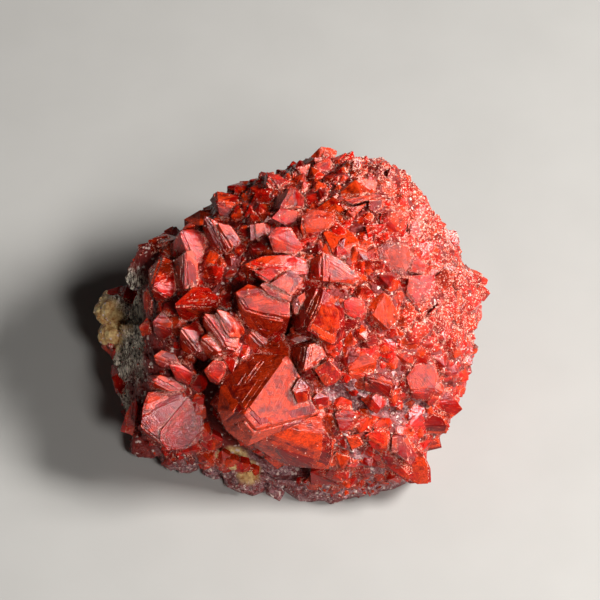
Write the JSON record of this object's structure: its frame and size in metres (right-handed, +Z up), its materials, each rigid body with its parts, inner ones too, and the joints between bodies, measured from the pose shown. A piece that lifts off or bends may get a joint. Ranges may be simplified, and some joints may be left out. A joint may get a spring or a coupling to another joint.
{
  "type": "hematoid quartz crystal cluster",
  "caption": "Hand-sized cluster of short red hematite-filled quartz crystals on a domed granular crust, cut flat underneath.",
  "frame": {"origin": "on the ground under the middle of the bounding box, at the flat cut", "axes": "+Z up from the flat cut, +X along the longest side, +Y away from the side that the large crystals lean towards"},
  "size_m": [0.079, 0.065, 0.0501],
  "materials": {
    "red_quartz": "natural glassy crystal faces, opaque with hematite, granular between the crystals"
  },
  "bodies": {
    "root": {"quartz_cluster": "red_quartz"}
  },
  "joints": []
}
